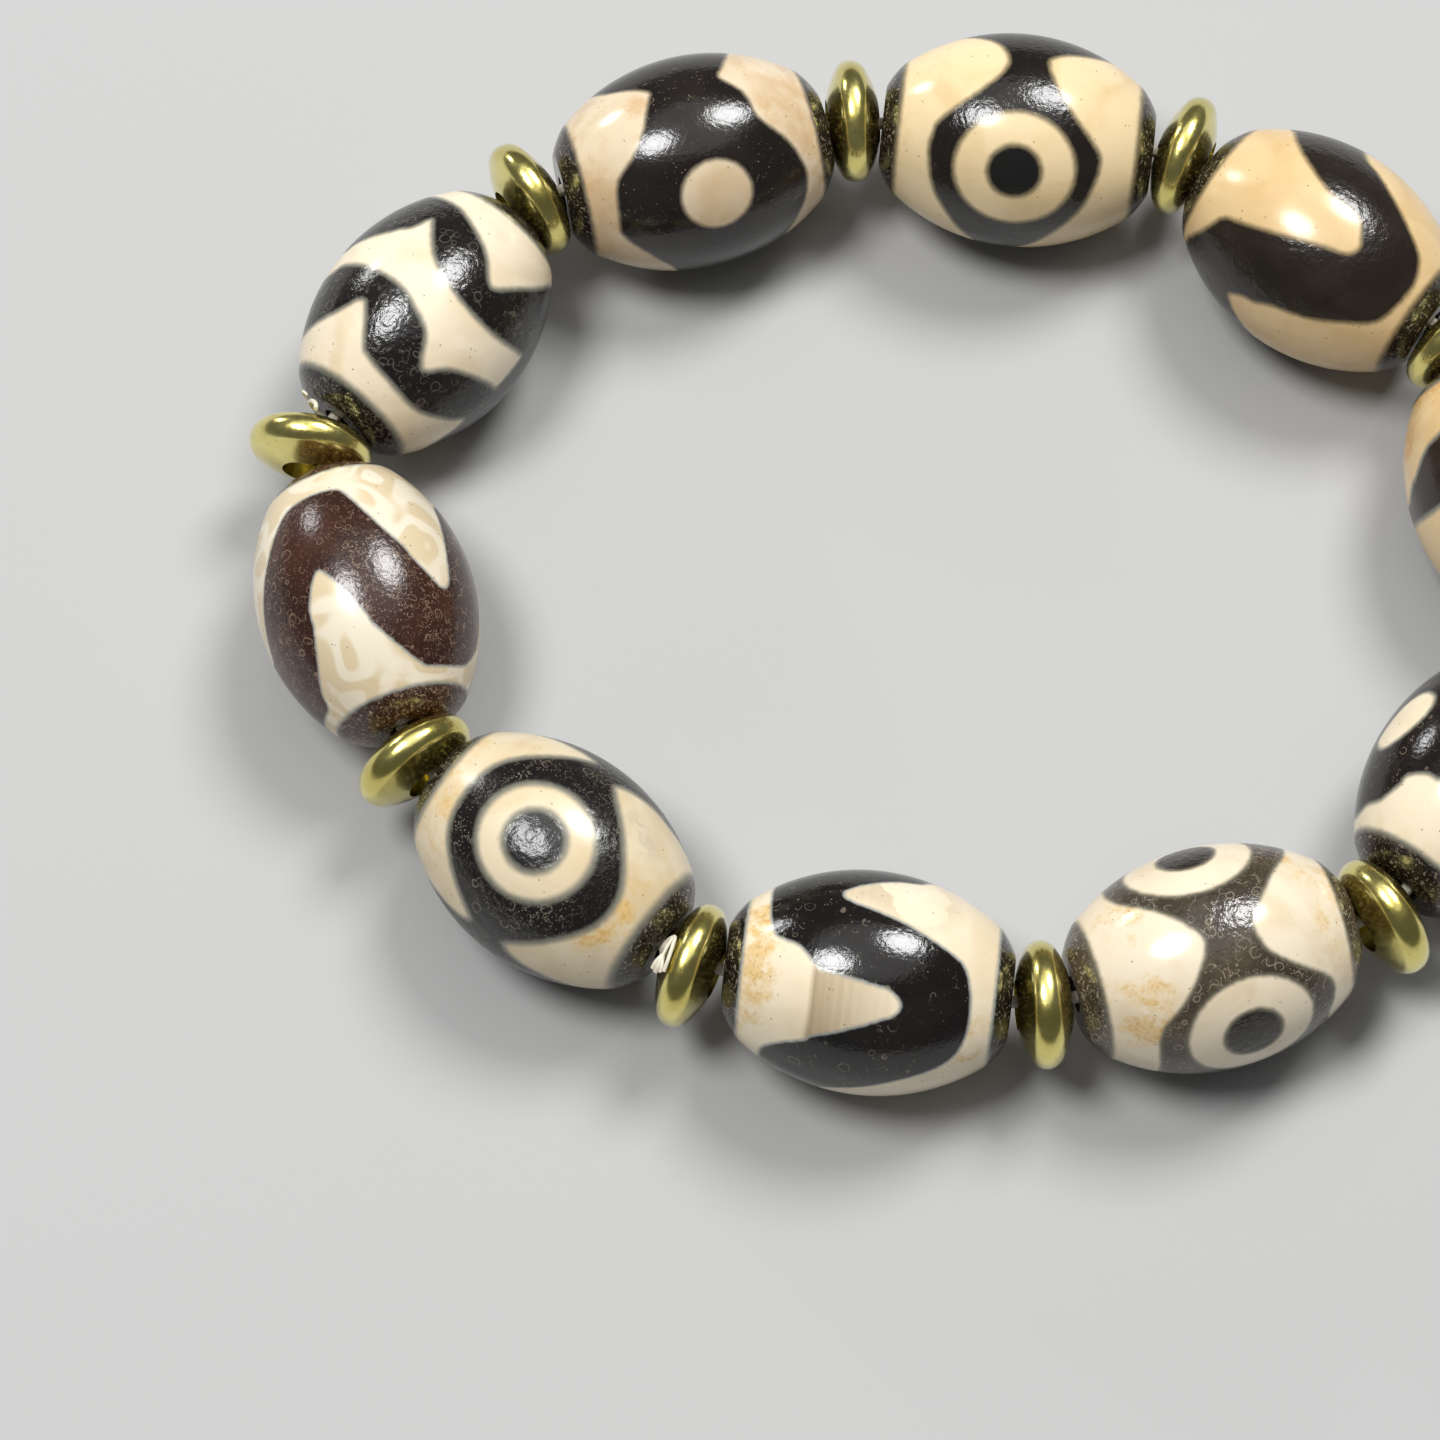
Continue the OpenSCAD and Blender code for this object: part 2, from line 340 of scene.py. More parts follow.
# Eyes are (along, round, radius of the cream, radius of the dark pupil), and patches closed cream outlines.
# Stains are (along, round, radius, strength), and tinted ends (end, mm that they reach in, strength).
# Veils are (closed outline, strength at its start, strength at its finish, crispness of its edge).
PATTERNS = {
    "a": {
        "start": [(-4.9, -180), (-4.4, -150), (-4.1, -120), (-4, -95), (-3.6, -75), (-3, -67), (-0.9, -58),
                  (1.1, -53), (1.8, -51), (2.1, -47), (1.8, -42), (0.4, -32), (-0.5, -28), (-1.9, -20),
                  (-4.6, -8), (-5.05, -2), (-5.2, 9), (-5.15, 22), (-4.9, 32), (-4.2, 40), (-2, 55),
                  (1, 74), (1.9, 84), (1.2, 98), (-1.5, 125), (-4, 150)],
        "finish": [(2.5, -180), (4.6, -140), (3.5, -118), (1, -104), (0.4, -96), (1.2, -90), (3, -87),
                   (4.6, -84), (5.5, -74), (5.9, -62), (5.95, -35), (5.7, -24), (4.7, -11), (3.35, -0.5),
                   (2.5, 2.5), (0.05, 14), (-0.4, 20.5), (1.2, 30), (2.4, 33), (4, 42), (5.3, 55),
                   (5.8, 59), (6, 70), (5.8, 110), (4.5, 140), (3, 165)],
        "tinted_ends": [(1, 2.0, 0.25)],
    },
    "b": {
        "start": [(-6, -180), (-6, -110), (-5, -84), (-3, -74), (-1.5, -70), (-0.8, -67), (-1.5, -60),
                  (-3.6, -41), (-4.5, -29), (-4.9, -15), (-5, 0), (-4.85, 15), (-4.3, 29), (-3.2, 41),
                  (-1.3, 57), (-1.2, 62), (-1.9, 67), (-4.6, 78), (-6, 110)],
        "finish": [(6, -180), (6, -110), (4.8, -84), (3, -74), (1.6, -65), (1, -58), (1.5, -51), (3.5, -32),
                   (5, -8), (4.9, 19), (3.2, 42), (1.4, 57), (1.2, 62), (1.9, 70), (4.6, 85), (6, 110)],
        "eyes": [(-0.15, -2, 3.3, 1.7)],
        "stains": [(5.2, 5, 2.2, 0.9), (4.9, 22, 2.2, 0.8), (5.6, -20, 1.4, 0.4), (-5.6, 10, 2.2, 0.6),
                   (-5.4, 40, 2.2, 0.4)],
        "veils": [([(2.6, -50), (3.6, -55), (4.8, -51), (5.2, -44), (4.6, -38), (3.4, -41)],
                   -0.9, -0.5, 1.2)],
        "tinted_ends": [(1, 1.5, 0.3), (-1, 1.5, 0.6)],
    },
    "c": {
        "start": [(-5.5, -80), (-5.5, -47), (-5.2, -28), (-4.6, -21), (-3.7, -16.5), (-2.7, -6), (-1.6, -3),
                  (0.5, 1), (1.2, 2.5), (1.85, 9), (1.6, 15), (0.75, 19), (-2.35, 32), (-3, 37), (-4.1, 44),
                  (-4.9, 53), (-5.3, 64), (-5.4, 90), (-5.2, 125), (-4.2, 145), (-2.5, 160), (1, 187),
                  (1.6, 195), (0.5, 208), (-1.5, 225), (-3.5, 240), (-5, 258)],
        "finish": [(2, -70), (1, -66), (-1.2, -56), (-1.8, -50), (-1.05, -43), (1.8, -33), (4.3, -22),
                   (5, -15), (5.4, 1), (5.4, 28), (4.5, 48), (1.65, 60), (-0.9, 72), (-1.8, 80), (-2.6, 92),
                   (-3, 102), (-2.4, 112), (-0.5, 124), (2, 140), (4.2, 160), (5.2, 185), (4.8, 215),
                   (4.2, 240), (2.6, 282)],
        "tinted_ends": [(-1, 1.3, 0.7), (1, 1.2, 0.2)],
        "veils": [([(-2.9, -20), (-2.9, 0), (-2.9, 20), (-2.9, 40), (-1, 44), (0.6, 38), (1.3, 26),
                    (1.35, 10), (1.2, -8), (0.4, -18), (-1, -22)], 0.8, 0.15, 4.0),
                  ([(-2.2, -50), (-1, -60), (1, -70), (3.2, -76), (4.4, -66), (4.2, -50), (3, -36),
                    (1.2, -36), (-0.6, -42)], 0.5, 0.25, 0.7),
                  ([(0.8, -62), (1.6, -70), (2.2, -66), (2.6, -70), (3.2, -62), (2.8, -55), (3.1, -46),
                    (2.3, -41), (1.6, -46), (1.5, -54)], -0.7, -0.3, 0.7)],
        "stains": [(-5.9, -46, 1.3, 0.9), (-5.8, -31, 1.4, 1.0), (-5.7, -16, 1.4, 0.9), (-5.7, 0, 1.4, 0.9),
                   (-5.8, 16, 1.4, 0.8), (-5.9, 32, 1.5, 0.6), (5.9, 25, 1.3, 0.5), (5.7, 45, 1.3, 0.6)],
    },
    "d": {
        "start": [(-5.6, -180), (-5.2, -120), (-4.8, -90), (-4.9, -70), (-4.6, -55), (-3.9, -44), (-1.6, -19),
                  (-1.15, -6), (-2.5, 16), (-3.9, 32), (-4.3, 42), (-4.4, 55), (-4.4, 95), (-5.2, 140)],
        "finish": [(5, -180), (5.2, -120), (4.8, -66), (3.3, -38), (1.7, -16), (1.5, -9), (1.7, -2), (2.1, 5),
                   (4, 21), (4.9, 30), (5.3, 40), (5.2, 52), (4.9, 70), (5.2, 110)],
        "eyes": [(-0.35, -69, 3.55, 1.55), (0.45, 47.5, 3.55, 1.6)],
        "stains": [(-5.4, -48, 1.8, 0.5), (-4.3, -40, 0.9, 0.9), (-4.6, -22, 0.7, 0.6), (-4.4, 12, 1.6, 0.8),
                   (-4.9, 36, 2.2, 0.8), (-5.4, 8, 1.2, 0.5), (4.6, -58, 0.9, 0.8), (5.3, -40, 1.0, 0.6),
                   (5.9, -6, 1.6, 0.5)],
        "tinted_ends": [(1, 1.9, 0.6), (-1, 0.8, 0.4)],
    },
    "e": {
        "start": [(-5.2, -180), (-5.6, -120), (-6, -88), (-5.6, -67), (-5.3, -53), (-4.4, -42), (-3.8, -39),
                  (-3.3, -28), (-3.3, -21), (-3.1, -15), (-2, -8), (-1.5, 2), (-1.6, 16), (-3.6, 44),
                  (-4.2, 60), (-4.3, 90), (-4.6, 140)],
        "finish": [(5.6, -180), (5.6, -90), (5.6, -20), (4.8, 0), (3.4, 16), (3, 26), (3.6, 38), (5, 54),
                   (5.6, 90)],
        "patches": [[(0.85, -51.5), (-0.3, -48.5), (-1.7, -54), (-2.6, -64), (-2.7, -72), (-2.3, -79),
                     (-1.75, -80), (0.35, -72), (1.15, -62)]],
        "tinted_ends": [(-1, 1.3, 0.3)],
    },
    "f": {
        "start": [(-5.6, -180), (-5.5, -100), (-5.3, -75), (-5.4, -50), (-5, -30), (-4.4, -14), (-3.6, -4),
                  (-3.2, 6), (-3.8, 16), (-5, 30), (-5.4, 50), (-5.4, 110)],
        "finish": [(5.6, -180), (5.2, -150), (4, -128), (2.4, -108), (1.4, -88), (1.3, -74), (1.9, -60.5),
                   (2, -56), (3, -41.5), (3.35, -29.5), (4.9, 14), (5.2, 30), (5.6, 100)],
        "patches": [[(0.5, -100), (0.3, -82), (-0.15, -62), (-0.35, -46), (-0.25, -35.5), (0.05, -25.5),
                     (0.6, -14), (1, 0), (1.1, 16), (0.9, 30), (1.2, 46), (2, 60), (3, 70), (2.2, 80),
                     (0.4, 86), (-1.4, 82), (-2.4, 72), (-1.9, 58), (-1.2, 44), (-1, 28), (-1.4, -6),
                     (-2.6, -40), (-2.7, -54), (-2.9, -58.5), (-3.1, -65), (-3.85, -76), (-3.6, -88),
                     (-2.6, -104), (-1, -112)]],
        "tinted_ends": [(1, 2.5, 0.8)],
        "stains": [(4.4, -62, 1.8, 0.8)],
    },
    "g": {
        "start": [(-5.6, -180), (-5, -150), (-3.5, -125), (-1.5, -105), (1, -76), (1.9, -64), (2.25, -56),
                  (1.5, -49), (0.6, -46), (-0.4, -41), (-2.5, -36), (-4.3, -28), (-5.6, -19), (-6.05, 0),
                  (-6.1, 20), (-5.7, 33), (-5, 41), (-1.9, 56), (-0.7, 63), (0.2, 68), (0.8, 80), (0.6, 92),
                  (-0.6, 108), (-2.6, 130), (-4.8, 155)],
        "finish": [(5.6, -180), (5.4, -140), (6.2, -100), (6.2, -65), (5.9, -50), (5, -25), (4.7, -18),
                   (3.8, -13), (-0.8, 2), (-2.3, 6.5), (-2.7, 12), (-2.6, 17.5), (-1.65, 28), (0.6, 30.5),
                   (2.5, 40), (3.6, 50), (4.4, 64), (5.3, 96)],
        "tinted_ends": [(1, 1.5, 0.3), (-1, 1.5, 0.3)],
    },
    "h": {
        "start": [(-5.6, -180), (-4, -120), (-0.6, -90), (-1.5, -72), (-3.7, -44), (-4.35, -28), (-4.7, -12),
                  (-4.4, 0), (-2.4, 24), (-1.6, 38), (-1.3, 50), (-2, 58), (-4, 72), (-5.2, 95), (-5.6, 130)],
        "finish": [(5.6, -180), (4.6, -130), (2.6, -100), (1.8, -84), (2.3, -74), (4.05, -45), (4.6, -30),
                   (4.85, -12), (4.7, 0), (4.2, 10), (1.2, 38), (1.3, 58), (3.2, 80), (4.4, 100), (5.6, 140)],
        "eyes": [(0, -17, 3.42, 1.5), (0, 163, 3.3, 1.5)],
        "tinted_ends": [(1, 1.6, 0.35), (-1, 1.2, 0.2)],
    },
    "i": {
        "start": [(-5.8, -180), (-5, -120), (-4, -82), (-4.6, -64), (-5.3, -48), (-5.6, -30), (-5.35, -14),
                  (-4.8, 0), (-3.5, 17), (-3.3, 26), (-3, 35), (-2.3, 43), (-2, 48), (-2.4, 56), (-3, 72),
                  (-3.3, 90), (-4, 120), (-5, 150)],
        "finish": [(5.5, -180), (4.4, -130), (2.4, -92), (2.5, -80), (2.8, -71), (3.8, -58), (5.1, -42),
                   (5.25, -30), (5.05, -6), (4.6, 3), (3.7, 12), (2.9, 24), (2.1, 42), (1.9, 47), (2.4, 53),
                   (4.2, 70), (5, 100), (5.2, 140)],
        "eyes": [(-0.25, -20.5, 2.05, 0), (0, 160, 2, 0)],
        "tinted_ends": [(1, 3.2, 0.6), (-1, 3.6, 0.7)],
        "stains": [(2.9, 42, 1.3, 0.7), (5.2, -34, 1.4, 0.5), (-4.6, 20, 1.8, 0.6)],
    },
    "j": {
        "start": [(-5, -170), (-6.2, -150), (-6.2, -100), (-6, -75), (-5.5, -57), (-3.7, -31), (-2.4, -17),
                  (-2.5, -10.5), (-3.4, -2.5), (-4.15, 9.5), (-5, 32), (-5.2, 48), (-5.3, 80), (-5.6, 120),
                  (-5, 140), (-3.4, 156), (-2.4, 166), (-3.2, 177)],
        "finish": [(6.3, -180), (6.2, -160), (4.8, -145), (3, -132), (2.2, -124), (3.2, -114), (5, -104),
                   (5.4, -92), (4.7, -80), (3.9, -74.5), (3.35, -68), (4, -60), (4.95, -44), (5.35, -27),
                   (5.2, 2.5), (4.95, 15.5), (4.65, 21), (3, 33), (2.7, 37), (2.9, 41), (3.4, 45.5),
                   (4.3, 58), (5.2, 83), (5.7, 120)],
        "patches": [[(0.2, 86), (0.1, 79), (-0.3, 75), (-1.4, 56.5), (-1.95, 50.5), (-2.4, 44.5),
                     (-3.3, 41.5), (-3.45, 40), (-3.25, 37), (-1.5, 20), (-0.8, 5), (-0.5, -6),
                     (-0.4, -19.5), (-0.6, -35.5), (-1.2, -54.5), (-1.35, -60), (-1.2, -62), (0, -62.5),
                     (1, -63), (1.15, -61), (1.45, -51.5), (2.1, -37.5), (2.75, -27), (3.7, -18),
                     (3.35, -11.5), (2.2, -3), (1.55, 9.5), (1, 25.5), (1.05, 51.5), (1.4, 70),
                     (1.8, 76), (2.3, 100), (1.8, 128), (0.9, 132), (0.3, 110)]],
        "tinted_ends": [(1, 1.5, 0.25), (-1, 1.4, 0.2)],
    },
}

# Steps from one drawn point to the next, and mm between the places that depths are measured from
CURVE_STEPS = 6
SAMPLE = 0.04

# A cream end is filled to this many mm along, and its edge counts as far round as this many degrees
PAST_END = 9.0
PAST_HALF_TURN = 215

# The cream stops this many mm short of the black collar, and depths past the deepest make no difference
COLLAR_CLEAR = 0.03
DEEPEST = 3

# How fast a stain, a pupil and the wear of the collar grow from their edges
STAIN_FADE = 1.6
PUPIL_EDGE = 6
WEAR_EDGE = 8

# Faint bands across a veil: the strength of each wave, and its radians a mm
VEIL_GRAIN = ((0.08, 13), (0.06, 29))


def curve_through(points, closed):
    """A smooth line through the points. An open one runs once round the bead, and goes on past its ends."""
    line = np.array(points, float)
    if closed:
        before, here, after, beyond = (np.roll(line, k, 0) for k in (1, 0, -1, -2))
    else:
        line = np.vstack([line - (0, 360), line, line + (0, 360)])
        before, here, after, beyond = line[:-3], line[1:-2], line[2:-1], line[3:]
    steps = [here + 0.5 * ((after - before) * t + (2 * before - 5 * here + 4 * after - beyond) * t ** 2
                           + (3 * here - before - 3 * after + beyond) * t ** 3)
             for t in np.arange(CURVE_STEPS) / CURVE_STEPS]
    return np.stack(steps, 1).reshape(-1, 2)


def skin_places(spots):
    """Places in mm on the skin of a bead that lies along X, for points (along, round)."""
    along = np.clip(spots[:, 0], -HALF_LENGTH, HALF_LENGTH)
    around = np.radians(spots[:, 1])
    out = np.array([bead_radius(x) for x in along])
    return np.stack([along, out * np.cos(around), out * np.sin(around)], 1)


def inside(outline, along, around):
    """Which points lie inside a closed outline, counting crossings."""
    hits = np.zeros(len(along), bool)
    for (x0, a0), (x1, a1) in zip(outline, np.roll(outline, -1, 0)):
        if a0 == a1:
            continue
        spans = (a0 > around) != (a1 > around)
        hits ^= spans & (along < (x1 - x0) * (around - a0) / (a1 - a0) + x0)
    return hits


def depth_inside(line, fills, skin, along, around):
    """Distance in mm from a line on the skin, above zero inside the outlines that it fills."""
    nearby = [line[:1]]
    for a, b in zip(line[:-1], line[1:]):
        gap = math.hypot(b[0] - a[0], math.radians(b[1] - a[1]) * BEAD_R)
        nearby.append(a + (b - a) * np.linspace(0, 1, max(2, int(gap / SAMPLE) + 1))[1:, None])
    samples = skin_places(np.vstack(nearby))
    tree = kdtree.KDTree(len(samples))
    for k, spot in enumerate(samples):
        tree.insert(spot, k)
    tree.balance()
    far = np.array([tree.find(spot)[2] for spot in skin])
    within = np.zeros(len(along), bool)
    for outline in fills:
        within |= inside(outline, along, around)
    return np.where(within, far, -far)


def end_depth(points, end, skin, along, around):
    """A cream end, from its edge to the bead's start (end -1) or finish (end 1)."""
    line = curve_through(points, False)
    corners = np.array([(PAST_END * end, line[-1][1]), (PAST_END * end, line[0][1])])
    near = line[np.abs(line[:, 1]) < PAST_HALF_TURN]
    return depth_inside(near, [np.vstack([line, corners])], skin, along, around)


def patch_depth(points, skin, along, around):
    line = curve_through(points, True)
    fills = [line + (0, turn) for turn in (-360, 0, 360)]
    return depth_inside(np.vstack([line, line[:1]]), fills, skin, along, around)


def ring_depth(along, around, centre, radius):
    """Distance in mm inside a round spot on the skin."""
    out = np.array([bead_radius(x) for x in along])
    off = (around - centre[1] + 180) % 360 - 180
    return radius - np.hypot(along - centre[0], np.radians(off) * (out + BEAD_R) / 2)


def etch(bead, pattern):
    """Writes the pattern on the bead, which still lies along X, as attributes of its points."""
    mesh = bead.data
    spots = np.empty(len(mesh.vertices) * 3)
    mesh.vertices.foreach_get("co", spots)
    skin = spots.reshape(-1, 3) / MM
    along = skin[:, 0]
    around = np.degrees(np.arctan2(skin[:, 2], skin[:, 1]))
    depth = np.maximum(end_depth(pattern["start"], -1, skin, along, around),
                       end_depth(pattern["finish"], 1, skin, along, around))
    for points in pattern.get("patches", []):
        depth = np.maximum(depth, patch_depth(points, skin, along, around))
    for x, turn, cream_r, pupil_r in pattern.get("eyes", []):
        depth = np.maximum(depth, ring_depth(along, around, (x, turn), cream_r))
        if pupil_r:
            depth = np.minimum(depth, -ring_depth(along, around, (x, turn), pupil_r))
    depth = np.minimum(depth, HALF_BARREL - COLLAR_CLEAR - np.abs(along))
    stain = np.zeros(len(along))
    for x, turn, radius, strength in pattern.get("stains", []):
        near = ring_depth(along, around, (x, turn), radius) / radius
        stain = np.maximum(stain, strength * np.clip(near * STAIN_FADE, 0, 1))
    for end, reach, strength in pattern.get("tinted_ends", []):
        near = (end * along - HALF_BARREL + reach) / reach
        stain = np.maximum(stain, strength * np.clip(near, 0, 1))
    veil = np.zeros(len(along))
    for x, turn, cream_r, pupil_r in pattern.get("eyes", []):
        near = ring_depth(along, around, (x, turn), pupil_r)
        veil = np.maximum(veil, np.clip(near * PUPIL_EDGE, 0, 1))
    grain = 1 + sum(share * np.sin(along * rate) for share, rate in VEIL_GRAIN)
    for points, first, last, crisp in pattern.get("veils", []):
        near = np.clip(patch_depth(points, skin, along, around) * crisp + 0.5, 0, 1)
        ends = [min(x for x, turn in points), max(x for x, turn in points)]
        veil = np.where(near > 0, np.interp(along, ends, [first, last]) * near * grain, veil)
    wear = np.clip((np.abs(along) - HALF_BARREL) * WEAR_EDGE, 0, 1)
    for name, values in (("etch", depth), ("stain", stain), ("veil", veil), ("wear", wear)):
        layer = mesh.attributes.new(name, "FLOAT", "POINT")
        layer.data.foreach_set("value", np.clip(values, -DEEPEST, DEEPEST).astype(np.float32))


OCHRE = tone(211, 176, 108)
BLACK = tone(18, 15, 13)
MARKS = tone(140, 128, 110)
GREY_HAZE = tone(118, 116, 104)
FINE_HAZE = tone(140, 142, 136)

# The colours of each bead's stone, the marks in it, its cream, its stains and the haze at their edge
SKINS = {
    "a": agate("brown_agate", tone(46, 26, 19), tone(166, 140, 116), tone(222, 212, 190),
               tone(190, 160, 116), FINE_HAZE, halo=0.12, gloss=0.21, leather=0.4, specks=0.95, cracks=0.9,
               rings=0.5, shade=(0.94, 0.9, 0.83), bands=0.9),
    "b": agate("black_agate_b", BLACK, tone(150, 140, 122), tone(215, 200, 170), OCHRE, GREY_HAZE, halo=0.32,
               gloss=0.25, leather=1.2, dimple=1700.0, specks=0.85, cracks=0.8, milk=tone(184, 176, 156)),
    "c": agate("black_agate_c", BLACK, MARKS, tone(227, 213, 185), OCHRE, FINE_HAZE, halo=0.14, leather=0.3,
               specks=0.35, cracks=0.2, rings=0.3, shade=(0.92, 0.89, 0.84), milk=tone(226, 220, 206)),
    "d": agate("black_agate_d", tone(58, 50, 40), tone(168, 156, 136), tone(222, 209, 184), OCHRE,
               tone(96, 92, 78), halo=0.2, gloss=0.17, leather=1.2, dimple=2100.0, specks=0.6, cracks=0.6,
               long_cracks=0.4, rings=0.7),
    "e": agate("black_agate_e", tone(24, 19, 16), MARKS, tone(230, 216, 188), OCHRE, GREY_HAZE, halo=0.2,
               gloss=0.15, leather=0.35, specks=0.35, cracks=0.3, rings=0.2),
    "f": agate("black_agate_f", tone(34, 26, 20), MARKS, tone(218, 192, 146), tone(206, 150, 70), GREY_HAZE,
               halo=0.25, gloss=0.18, leather=0.3, specks=0.2, cracks=0.0, rings=0.05, grit=0.3),
    "g": agate("black_agate_g", tone(30, 24, 18), MARKS, tone(214, 186, 139), tone(206, 164, 96),
               tone(120, 104, 74), halo=0.2, gloss=0.21, leather=0.8, dimple=2600.0, specks=0.15, cracks=0.0,
               rings=0.05, grit=0.3),
    "h": agate("black_agate_h", tone(22, 18, 14), MARKS, tone(224, 202, 160), OCHRE,
               tone(120, 108, 82), halo=0.22, gloss=0.18, leather=0.7, dimple=2800.0, specks=0.25, cracks=0.1,
               rings=0.08, grit=0.3),
    "i": agate("black_agate_i", tone(24, 20, 17), MARKS, tone(212, 195, 166), tone(192, 158, 112),
               tone(110, 100, 84), halo=0.16, gloss=0.15, leather=0.3, specks=0.4, cracks=0.15, rings=0.08,
               shade=(0.84, 0.74, 0.62), grit=0.15),
    "j": agate("black_agate_j", tone(20, 17, 15), tone(116, 109, 95), tone(228, 214, 188), OCHRE, GREY_HAZE,
               halo=0.24, gloss=0.17, leather=0.8, dimple=2600.0, specks=0.4, cracks=0.4, rings=0.75),
}

barrel = spun("barrel", bead_half_outline(), BEAD_SIDES)
for letter, pattern in PATTERNS.items():
    node = "bead_" + letter
    bead = copied(barrel, "etched_" + node, SKINS[letter])
    etch(bead, pattern)
    middle, way = axle_of(node, True)
    seat(bead, middle, way, camera.matrix_world.translation - middle)
    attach(bead, "root")
    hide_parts(node)
bpy.data.objects.remove(barrel)

# Brass rondelles
# Ten turned and polished brass spacers with rounded rims and a hole for the elastic, one between each
# two beads. Their sides are wide arcs, and the rim is a small one.
RONDELLE_R = 3.45
RONDELLE_HALF = 1.6
RIM_R = 0.98
RONDELLE_BORE = 1.3
SINK_EASE = 0.1
RIM_AT = RONDELLE_R - RIM_R
SINK = (RIM_AT ** 2 - (RONDELLE_HALF - RIM_R) ** 2) / (2 * (RONDELLE_HALF - RIM_R)) - SINK_EASE
SIDE_ARC = SINK + RONDELLE_HALF
SIDE_STEPS = 14
RIM_STEPS = 22
RONDELLE_SIDES = 112


def rondelle_half_outline():
    """Closed outline: the two arcs of the sides, joined by the rim arc outside and the bore inside."""
    swing = math.asin(RIM_AT / math.hypot(RIM_AT, SINK))
    start = math.asin(RONDELLE_BORE / SIDE_ARC)
    side = []
    for k in range(SIDE_STEPS + 1):
        a = start + (swing - start) * k / SIDE_STEPS
        side.append((SIDE_ARC * math.cos(a) - SINK, SIDE_ARC * math.sin(a)))
    rim_start = math.atan2(side[-1][0], side[-1][1] - RIM_AT)
    rim = []
    for k in range(1, RIM_STEPS):
        a = rim_start * (1 - 2 * k / RIM_STEPS)
        rim.append((RIM_R * math.sin(a), RIM_AT + RIM_R * math.cos(a)))
    return side + rim + [(-x, r) for x, r in reversed(side)]


def brass(name):
    """Polished brass, a little green, with soft turning marks and fine bright scratches under the shine."""
    made, tree, place = blank(name)
    smudge = noise(tree, place, 420.0, 5.0)
    colour = blend(tree, ramp(tree, smudge, 0.38, 0.68), tone(233, 221, 134), tone(212, 197, 102))
    fleck, grey = cells(tree, place, 3600.0)
    spots = times(tree, ramp(tree, fleck, 0.26, 0.10), ramp(tree, grey, 0.58, 0.66))
    colour = blend(tree, times(tree, spots, 0.6), colour, tone(120, 100, 44))
    fine = noise(tree, place, 3200.0, 4.0)
    rough = math_node(tree, "MULTIPLY_ADD", fine, 0.18, 0.14)
    bump = fit(tree, "ShaderNodeBump", Strength=0.32, Distance=0.03 * MM, Height=fine)
    shader = fit(tree, "ShaderNodeBsdfPrincipled", Base_Color=colour, Roughness=rough, Normal=bump.outputs[0])
    shader.inputs["Metallic"].default_value = 1.0
    shader.inputs["Coat Weight"].default_value = 0.9
    shader.inputs["Coat Roughness"].default_value = 0.05
    fit(tree, "ShaderNodeOutputMaterial", Surface=shader.outputs[0])
    return made


polished_brass = brass("polished_brass")
ring = spun("rondelle", rondelle_half_outline(), RONDELLE_SIDES)
for name in sorted(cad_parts):
    if not name.startswith("spacer_"):
        continue
    rondelle = copied(ring, name.replace("spacer", "rondelle"), polished_brass)
    middle, way = axle_of(name, False)
    seat(rondelle, middle, way, Vector((0, 0, 1)))
    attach(rondelle, "root")
    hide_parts(name)
bpy.data.objects.remove(ring)

# Elastic cord
# A milky clear elastic of many fine strands runs through every bead and rondelle and closes the loop.
# It shows only in the joints, so the solid of the frame serves, in a pale rubbery material.


def elastic(name):
    """Milky clear rubber, a little uneven."""
    made, tree, place = blank(name)
    strand = noise(tree, place, 2400.0, 3.0)
    colour = blend(tree, strand, tone(226, 220, 204), tone(196, 186, 164))
    shader = fit(tree, "ShaderNodeBsdfPrincipled", Base_Color=colour)
    shader.inputs["Roughness"].default_value = 0.35
    shader.inputs["IOR"].default_value = 1.5
    fit(tree, "ShaderNodeOutputMaterial", Surface=shader.outputs[0])
    return made


clear_elastic = elastic("clear_elastic")
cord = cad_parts["elastic_cord"]
cord.data.materials.clear()
cord.data.materials.append(clear_elastic)

# Cut tail and loose strands
# The elastic is knotted inside a bead. Its short cut tail stands in the open side of the joint after
# bead_b, and a few of its strands show in the sharp bend after bead_j.

# Each is some bent round strands, given by their radius and the places they run through: mm past the
# bead's end, mm from its axis, and degrees round from the side that faces the viewer.
STRANDS = {
    "cut_tail": ("bead_b", [
        (0.10, [(0.28, 0.45, 30), (0.30, 1.4, 20), (0.40, 2.3, 5), (0.55, 2.8, -6), (0.66, 3.0, -8),
                (0.76, 3.2, 1), (0.88, 3.3, 12)]),
        (0.13, [(0.86, 3.28, 10), (0.78, 3.4, 20), (0.80, 3.4, 26)]),
        (0.14, [(0.90, 3.3, 11), (1.00, 3.42, 20), (1.04, 3.42, 27)]),
        (0.10, [(0.92, 3.3, 12), (1.18, 3.46, 19), (1.28, 3.5, 24)]),
        (0.11, [(0.40, 0.45, 30), (0.42, 1.4, 25), (0.48, 2.3, 8), (0.62, 2.75, -6), (0.74, 3.05, -10),
                (1.02, 3.36, -1), (1.22, 3.46, 8), (1.36, 3.52, 16), (1.44, 3.55, 21)]),
    ]),
    "loose_strands": ("bead_j", [
        (0.13, [(0.40, 0.6, 80), (0.45, 1.4, 75), (0.55, 2.2, 60), (0.62, 2.7, 44), (0.82, 3.0, 32),
                (1.06, 3.1, 28)]),
        (0.08, [(0.32, 1.4, 85), (0.34, 2.3, 75), (0.44, 3.0, 61), (0.50, 3.1, 55), (0.56, 3.0, 50)]),
    ]),
}
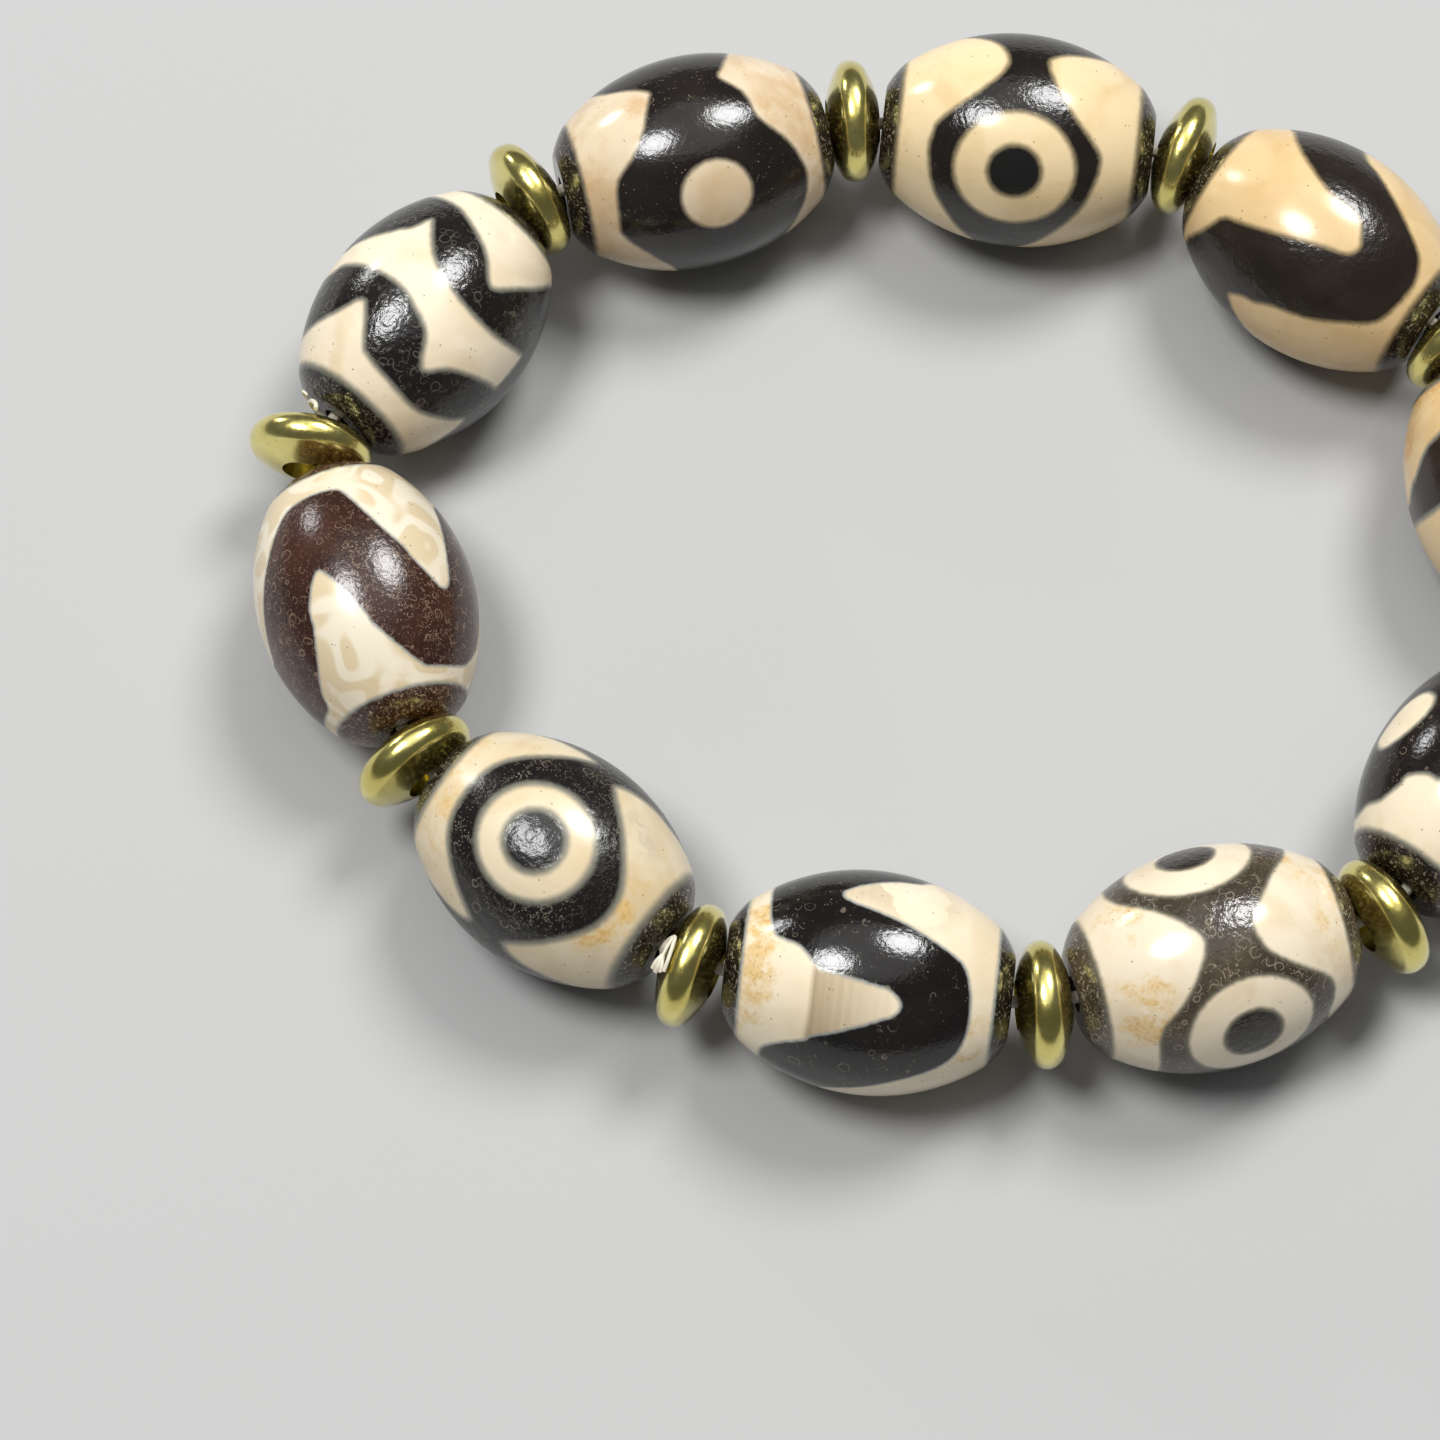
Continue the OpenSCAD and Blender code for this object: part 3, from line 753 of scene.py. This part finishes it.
for name, (node, strands) in STRANDS.items():
    middle, way = axle_of(node, True)
    face = camera.matrix_world.translation - middle
    face = (face - face.project(way)).normalized()
    side = way.cross(face)
    bpy.ops.object.select_all(action="DESELECT")
    made = []
    for radius, points in strands:
        bpy.ops.curve.primitive_bezier_curve_add()
        strand = bpy.context.active_object
        strand.data.bevel_depth = radius * MM
        strand.data.bevel_resolution = 3
        strand.data.use_fill_caps = True
        line = strand.data.splines[0]
        line.bezier_points.add(len(points) - len(line.bezier_points))
        for knot, (past, out, turn) in zip(line.bezier_points, points):
            angle = math.radians(turn)
            spoke = face * math.cos(angle) + side * math.sin(angle)
            knot.co = middle + (way * (HALF_LENGTH + past) + spoke * out) * MM
            knot.handle_left_type = knot.handle_right_type = "AUTO"
        made.append(strand)
    for strand in made:
        strand.select_set(True)
    bpy.ops.object.convert(target="MESH")
    bpy.ops.object.join()
    piece = bpy.context.active_object
    piece.name = name
    bpy.ops.object.shade_smooth_by_angle(angle=CREASE)
    piece.data.materials.clear()
    piece.data.materials.append(clear_elastic)
    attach(piece, "root")

# Studio
# A plain pale floor and soft boxes: two give the highlights on the beads, a small low one a glint on
# their sides, and a wide dim one their glow.
FLOOR_SIZE = 4.0
bpy.ops.object.select_all(action="DESELECT")
bpy.ops.mesh.primitive_plane_add(size=FLOOR_SIZE, location=(0, 0, 0))
floor = bpy.context.active_object
floor.name = "floor"
floor_paint = bpy.data.materials.new("floor_paint")
floor_paint.use_nodes = True
shader = floor_paint.node_tree.nodes["Principled BSDF"]
shader.inputs["Base Color"].default_value = tone(172, 172, 171)
shader.inputs["Roughness"].default_value = 0.9
floor.data.materials.append(floor_paint)

# Soft boxes are (direction across, upward and toward the camera, size in m, power in W)
LIGHT_REACH = 0.8
SOFT_BOXES = {
    "left_box": (Vector((-0.355, 0.362, 0.863)), 0.29, 4.5),
    "right_box": (Vector((0.333, 0.695, 0.638)), 0.30, 4.7),
    "small_box": (Vector((-0.65, 0.756, 0.08)), 0.14, 0.8),
    "glow_box": (Vector((0.0, 0.56, 0.83)), 0.95, 1.7),
}
for name, (aim, size, power) in SOFT_BOXES.items():
    lamp = bpy.data.lights.new(name, "AREA")
    lamp.shape = "DISK"
    lamp.size = size
    lamp.energy = power
    box = bpy.data.objects.new(name, lamp)
    bpy.context.scene.collection.objects.link(box)
    way = (across * aim.x + upward * aim.y + toward * aim.z).normalized()
    turn = way.to_track_quat("Z", "Y").to_matrix().to_4x4()
    box.matrix_world = Matrix.Translation(VIEW_TARGET + LIGHT_REACH * way) @ turn

world = bpy.data.worlds.new("room")
world.use_nodes = True
background = world.node_tree.nodes["Background"]
background.inputs["Color"].default_value = tone(200, 202, 206)
background.inputs["Strength"].default_value = 0.2
bpy.context.scene.world = world
bpy.context.scene.view_settings.view_transform = "Standard"
